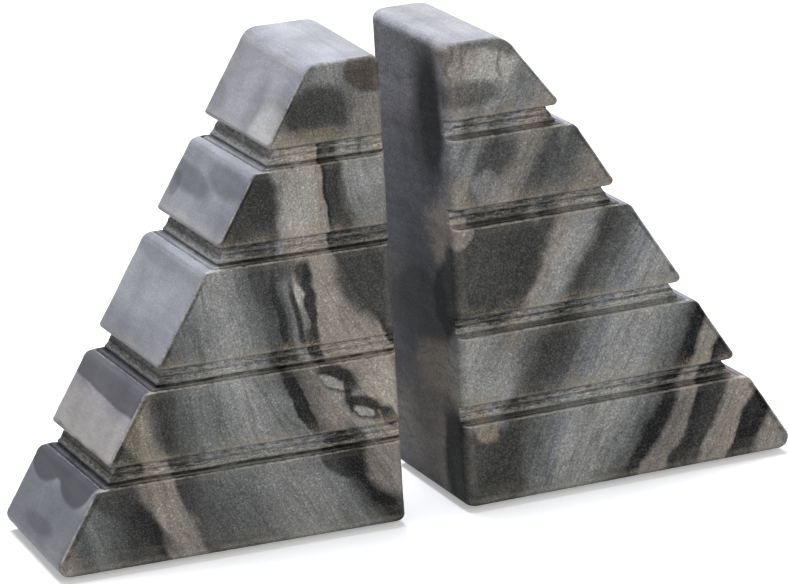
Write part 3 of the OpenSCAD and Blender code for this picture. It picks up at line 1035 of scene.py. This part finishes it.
def makeMarble(name, m, f, matrix):
    material, tree, shader = newMaterial(name)
    place = stoneCoordinates(tree, matrix)
    beds = useGroup(tree, bedsGroup, {"Place": place, "Seed": m["seed"], **m["bedding"]})
    color = bedColor(tree, beds["Bed"], m["beds"])
    marks = {label: addNode(tree, "ShaderNodeAttribute", attribute_name=label.lower()).outputs["Fac"]
             for label in (*grooveMarks, "Polish", "Tint")}
    sawn = minus(tree, 1.0, marks["Tint"])
    color = layPatches(tree, color, m["patches"], beds["Warped"])
    # Smooth faces are mixed towards bluish mauve: their own quieter colour, with painted cool light in its
    # blue; on the slope's groove floors it also lightens them as painted light
    color = mixColor(tree, times(tree, marks["Tint"], m["smoothShare"]), color, palette["mauve"])
    color = layPatches(tree, color, m["smoothPatches"], beds["Drifted"], marks["Tint"])
    # The slope's groove floors lie in shade under the tier above and are mixed towards pale as painted
    # light
    paintedFloorLight = times(tree, marks["Tint"], times(tree, marks["Floor"], f["slopeFloorLight"]))
    color = mixColor(tree, paintedFloorLight, color, palette["pale"])
    threads = times(tree, beds["Threads"], times(tree, sawn, f["threads"]))
    color = mixColor(tree, threads, color, palette["dark"])

    grain = useGroup(tree, grainGroup, {"Place": place, "Seed": m["seed"]})
    coarse = remap(tree, sawn, 0.0, 1.0, f["smoothGrain"], 1.0)
    tone = remap(tree, grain["Clouds"], 0.3, 0.7, *f["cloudTone"])
    streaks = remap(tree, beds["Streaks"], 0.3, 0.7, *f["streakTone"])
    crystals = remap(tree, grain["Crystals"], 0.34, 0.66, *f["crystalTone"])
    glint = times(tree, grain["Sparkle"], sawn)
    for change, share in ((streaks, coarse), (crystals, coarse), (glint, f["glint"])):
        tone = times(tree, tone, timesPlus(tree, change, share, 1.0))
    color = scaleVector(tree, color, tone)
    flecks = times(tree, remap(tree, grain["Crystals"], 0.5, 0.75, 0.0, f["flecks"]), sawn)
    color = mixColor(tree, flecks, color, palette["lightGrey"])

    worn = {label: marks[label] for label in grooveMarks}
    edge = useGroup(tree, edgeGroup, {"Color": color, "Place": place, **worn})
    tree.links.new(edge["Color"], shader.inputs["Base Color"])
    honed = remap(tree, grain["Crystals"], 0.2, 0.8, *f["roughness"])
    rough = timesPlus(tree, edge["Rough"], f["wornRoughness"], honed)
    tree.links.new(rough, shader.inputs["Roughness"])
    shader.inputs["Specular IOR Level"].default_value = f["specular"]
    shader.inputs["Coat Roughness"].default_value = f["coatRoughness"]
    tree.links.new(times(tree, marks["Polish"], f["coat"]), shader.inputs["Coat Weight"])
    height = timesPlus(tree, grain["Crystals"], f["crystalRelief"], edge["Height"])
    addBump(tree, shader, height, f["bump"], f["bumpDepth"])
    return material


# The two stones

wear = {
    "Half Depth": stone["depth"] / 2 * mm,
    "Height": stone["height"] * mm,
    "Slope Run": (stone["baseLength"] - stone["topLength"]) / stone["height"],
    "Tilt Fade": 20 * mm,
    "Chip Depth": 0.45 * mm,
    "Chip Size": 1.4 * mm,
    "Nick Depth": 0.8 * mm,
    "Nick Size": 5 * mm,
    "Floor Depth": 0.7 * mm,
    "Floor Grain": 1.1 * mm,
    "Face Wave": 0.25 * mm,
    "Wave Length": 30 * mm,
    "Line Drift": 1.2 * mm,
    "Drift Length": 18 * mm,
}

stoneTree = buildStoneTree(wear)
columnPoints = pointMesh("stoneColumns", stoneColumns(stone), ())

for side, look in (("left", leftMarble), ("right", rightMarble)):
    matrix = stonePlace(side)
    material = makeMarble(side + "Marble", look, finish, matrix)
    rowPoints = pointMesh("stoneRows", stoneRows({**stone, **look["shape"]}), rowLengths)
    values = {**wear, "Columns": columnPoints, "Groove Tilt": look["grooveTilt"] * mm, "Seed": look["seed"],
              "Material": material}
    mesh = runTree(rowPoints, stoneTree, values)
    placeMesh(mesh, matrix)
    block = addObject(side + "_stone", mesh)
    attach(block, side + "_book_end")
    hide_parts(side + "_block")
    bpy.data.objects.remove(rowPoints)
    print(side, "stone made, with", len(mesh.polygons), "faces")

bpy.data.objects.remove(columnPoints)


# Rubber pads under each stone

pad = {
    "rimRadius": 0.8 * mm,
    "topBevel": 0.25 * mm,
    "flatMargin": 0.15 * mm,
    "segments": 48,
    "color": rgb(0.018, 0.018, 0.019),
    "dustColor": rgb(0.075, 0.072, 0.066),
    "dust": 0.5,
    "roughness": (0.72, 0.92),
    "pebbles": 2.2,  # to the millimetre
    "bump": 0.35,
    "bumpDepth": 0.2 * mm,
}


def makeRubber(p):
    material, tree, shader = newMaterial("padRubber")
    place = scaleVector(tree, tree.nodes.new("ShaderNodeTexCoord").outputs["Object"], 1 / mm)
    pebbles = addNode(tree, "ShaderNodeTexVoronoi", {"Vector": place, "Scale": p["pebbles"]})
    dust = noise(tree, place, 0.4, 4.0, 0.6)[0]
    share = remap(tree, dust, 0.45, 0.75, 0.0, p["dust"])
    tree.links.new(mixColor(tree, share, p["color"], p["dustColor"]), shader.inputs["Base Color"])
    tree.links.new(remap(tree, dust, 0.3, 0.7, *p["roughness"]), shader.inputs["Roughness"])
    addBump(tree, shader, pebbles.outputs["Distance"], p["bump"], p["bumpDepth"])
    return material


def padDisc(p, radius, height):
    # Half section from the middle of the underside round the rim to the middle of the upper face
    rim, bevel = p["rimRadius"], p["topBevel"]
    section = [(0.0, 0.0), (radius * 0.5, 0.0), (radius - rim - p["flatMargin"], 0.0)]
    for turn in span(0, quarter, 6):
        section.append((radius - rim + rim * math.sin(turn), rim - rim * math.cos(turn)))
    section += [(radius, height - bevel), (radius - bevel, height), (radius * 0.5, height), (0.0, height)]
    disc = bmesh.new()
    points = [disc.verts.new((x, 0, z - height)) for x, z in section]
    lines = [disc.edges.new(pair) for pair in zip(points, points[1:])]
    bmesh.ops.spin(disc, geom=points + lines, axis=(0, 0, 1), cent=(0, 0, 0), angle=math.tau,
                   steps=p["segments"], use_duplicate=False)
    bmesh.ops.remove_doubles(disc, verts=disc.verts, dist=0.01 * mm)
    bmesh.ops.recalc_face_normals(disc, faces=disc.faces)
    mesh = bpy.data.meshes.new("padDisc")
    disc.to_mesh(mesh)
    disc.free()
    return addObject("padDisc", mesh)


def buildPadTree():
    inputs = [("Places", "Geometry", None), ("Pad", "Object", None),
              ("Material", "Material", None)]
    tree, given, result = newGroup("padFeet", "GeometryNodeTree", inputs, [("Pads", "Geometry")])
    disc = addNode(tree, "GeometryNodeObjectInfo", {"Object": given["Pad"]}).outputs["Geometry"]
    spots = addNode(tree, "GeometryNodeMeshToPoints", {"Mesh": given["Places"]}).outputs[0]
    pads = addNode(tree, "GeometryNodeInstanceOnPoints", {"Points": spots, "Instance": disc}).outputs[0]
    pads = geometryStep(tree, "SetShadeSmooth", pads)
    pads = geometryStep(tree, "RealizeInstances", pads)
    pads = geometryStep(tree, "SetMaterial", pads, {"Material": given["Material"]})
    tree.links.new(pads, result["Pads"])
    return tree


padTree = buildPadTree()
rubber = makeRubber(pad)
for side in ("left", "right"):
    nodes = sorted(name for name in frame["nodes"] if name.startswith(side + "_pad_"))
    boxes = [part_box(name) for name in nodes]
    radius, height = (boxes[0][1].x - boxes[0][0].x) / 2, boxes[0][1].z - boxes[0][0].z
    spots = bpy.data.meshes.new("padSpots")
    spots.from_pydata([((low.x + high.x) / 2, (low.y + high.y) / 2, high.z) for low, high in boxes], [], [])
    host = addObject("padSpots", spots)
    disc = padDisc(pad, radius, height)
    mesh = runTree(host, padTree, {"Pad": disc, "Material": rubber})
    feet = addObject(side + "_pads", mesh)
    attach(feet, side + "_book_end")
    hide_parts(*nodes)
    for helper in (host, disc):
        bpy.data.objects.remove(helper)
    print(side, "pads made:", len(nodes))
